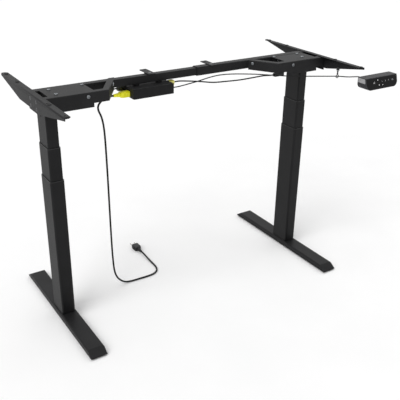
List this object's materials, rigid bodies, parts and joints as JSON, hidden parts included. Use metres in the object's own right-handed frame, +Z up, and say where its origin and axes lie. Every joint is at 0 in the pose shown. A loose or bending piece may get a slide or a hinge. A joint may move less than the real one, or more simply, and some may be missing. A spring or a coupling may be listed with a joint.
{
  "type": "standing desk frame",
  "caption": "Black electric standing desk frame without a top: telescoping columns on long feet, a cross beam, side brackets, control box, handset and mains cord.",
  "frame": {"origin": "on the floor under the centre of the frame's bounding box, free cord left out", "axes": "+X along the cross beam to the right as seen from the user's side, +Y away from the user, +Z up"},
  "size_m": [1.2016, 0.755, 0.862],
  "materials": {
    "foot": "matt black powder coat",
    "column": "matt black powder coat",
    "guide_plastic": "plain black nylon",
    "head_sheet": "matt black powder coat",
    "beam": "matt black powder coat",
    "casting": "black coated casting",
    "motor_black": "satin black can",
    "zinc": "bright zinc",
    "pin_metal": "nickel plated",
    "pad_rubber": "soft black rubber",
    "box_plastic": "fine grained black plastic",
    "board_green": "solder mask",
    "yellow_plastic": "bright yellow moulding",
    "cream_plastic": "pale yellow moulding",
    "cord_black": "satin black sheath",
    "plug_black": "moulded black plastic",
    "glide_plastic": "black plastic disc on a steel stud",
    "handset_grey": "mid grey plastic",
    "handset_gloss": "gloss black panel",
    "key_white": "gloss black key with a white sign"
  },
  "bodies": {
    "left_leg": {"left_foot": "foot", "left_base_bolts": "zinc", "left_outer_tube": "column", "left_outer_guide": "guide_plastic", "mains_cord": "cord_black", "mains_plug": "plug_black", "mains_plug_pins": "pin_metal"},
    "left_middle": {"left_mid_tube": "column", "left_mid_guide": "guide_plastic"},
    "left_frame": {"left_top_tube": "column", "left_gearbox": "casting", "left_motor": "motor_black", "left_head_tray": "head_sheet", "left_side_bracket": "head_sheet", "left_head_screws": "zinc", "left_desk_pads": "pad_rubber", "inner_beam_tube": "beam", "left_desk_tab": "head_sheet", "left_tab_screw": "zinc", "control_box_case": "box_plastic", "control_box_lid": "box_plastic", "control_board": "board_green", "box_screws": "zinc", "inlet_plug": "yellow_plastic", "motor_plugs": "cream_plastic", "left_motor_cable": "cord_black"},
    "right_frame": {"right_top_tube": "column", "right_gearbox": "casting", "right_motor": "motor_black", "right_head_tray": "head_sheet", "right_side_bracket": "head_sheet", "right_head_screws": "zinc", "right_desk_pads": "pad_rubber", "outer_beam_tube": "beam", "right_desk_tab": "head_sheet", "right_tab_screw": "zinc", "beam_lock_screws": "zinc", "motor_lead_plug": "plug_black", "right_motor_cable": "cord_black", "handset_cable": "cord_black", "cable_hook": "plug_black", "handset_case": "handset_grey", "handset_face": "handset_gloss"},
    "right_middle": {"right_mid_tube": "column", "right_mid_guide": "guide_plastic"},
    "right_leg": {"right_foot": "foot", "right_base_bolts": "zinc", "right_outer_tube": "column", "right_outer_guide": "guide_plastic"},
    "left_front_glide": {"left_front_glide": "glide_plastic"},
    "left_rear_glide": {"left_rear_glide": "glide_plastic"},
    "right_front_glide": {"right_front_glide": "glide_plastic"},
    "right_rear_glide": {"right_rear_glide": "glide_plastic"},
    "key_up": {"key_up": "key_white"},
    "key_down": {"key_down": "key_white"},
    "key_one": {"key_one": "key_white"},
    "key_two": {"key_two": "key_white"},
    "key_three": {"key_three": "key_white"},
    "key_store": {"key_store": "key_white"},
    "key_clock": {"key_clock": "key_white"}
  },
  "joints": [
    {"name": "lift", "type": "slide", "parent": "left_leg", "child": "left_frame", "axis": [0, 0, 1], "range_m": [-0.212, 0.438], "deforming": ["mains_cord"]},
    {"name": "left_middle_lift", "type": "slide", "parent": "left_leg", "child": "left_middle", "axis": [0, 0, 1], "range_m": [-0.106, 0.219]},
    {"name": "width", "type": "slide", "parent": "left_frame", "child": "right_frame", "axis": [1, 0, 0], "range_m": [-0.1, 0.26], "deforming": ["right_motor_cable", "handset_cable"]},
    {"name": "right_middle_lift", "type": "slide", "parent": "right_frame", "child": "right_middle", "axis": [0, 0, -1], "range_m": [-0.106, 0.219]},
    {"name": "right_leg_lift", "type": "slide", "parent": "right_frame", "child": "right_leg", "axis": [0, 0, -1], "range_m": [-0.212, 0.438]},
    {"name": "left_front_glide_level", "type": "slide", "parent": "left_leg", "child": "left_front_glide", "axis": [0, 0, -1], "range_m": [-0.0008, 0.008]},
    {"name": "left_rear_glide_level", "type": "slide", "parent": "left_leg", "child": "left_rear_glide", "axis": [0, 0, -1], "range_m": [-0.0008, 0.008]},
    {"name": "right_front_glide_level", "type": "slide", "parent": "right_leg", "child": "right_front_glide", "axis": [0, 0, -1], "range_m": [-0.0008, 0.008]},
    {"name": "right_rear_glide_level", "type": "slide", "parent": "right_leg", "child": "right_rear_glide", "axis": [0, 0, -1], "range_m": [-0.0008, 0.008]},
    {"name": "key_up_press", "type": "slide", "parent": "right_frame", "child": "key_up", "axis": [0, 0.9644, -0.2643], "range_m": [0, 0.0008], "stiffness_N_per_m": 500, "springref_m": -0.0004},
    {"name": "key_down_press", "type": "slide", "parent": "right_frame", "child": "key_down", "axis": [0, 0.9644, -0.2643], "range_m": [0, 0.0008], "stiffness_N_per_m": 500, "springref_m": -0.0004},
    {"name": "key_one_press", "type": "slide", "parent": "right_frame", "child": "key_one", "axis": [0, 0.9644, -0.2643], "range_m": [0, 0.0008], "stiffness_N_per_m": 500, "springref_m": -0.0004},
    {"name": "key_two_press", "type": "slide", "parent": "right_frame", "child": "key_two", "axis": [0, 0.9644, -0.2643], "range_m": [0, 0.0008], "stiffness_N_per_m": 500, "springref_m": -0.0004},
    {"name": "key_three_press", "type": "slide", "parent": "right_frame", "child": "key_three", "axis": [0, 0.9644, -0.2643], "range_m": [0, 0.0008], "stiffness_N_per_m": 500, "springref_m": -0.0004},
    {"name": "key_store_press", "type": "slide", "parent": "right_frame", "child": "key_store", "axis": [0, 0.9644, -0.2643], "range_m": [0, 0.0008], "stiffness_N_per_m": 500, "springref_m": -0.0004},
    {"name": "key_clock_press", "type": "slide", "parent": "right_frame", "child": "key_clock", "axis": [0, 0.9644, -0.2643], "range_m": [0, 0.0008], "stiffness_N_per_m": 500, "springref_m": -0.0004}
  ],
  "couplings": [
    {"joint": "left_middle_lift", "follows": "lift", "ratio": 0.5},
    {"joint": "right_middle_lift", "follows": "lift", "ratio": 0.5},
    {"joint": "right_leg_lift", "follows": "lift", "ratio": 1}
  ]
}
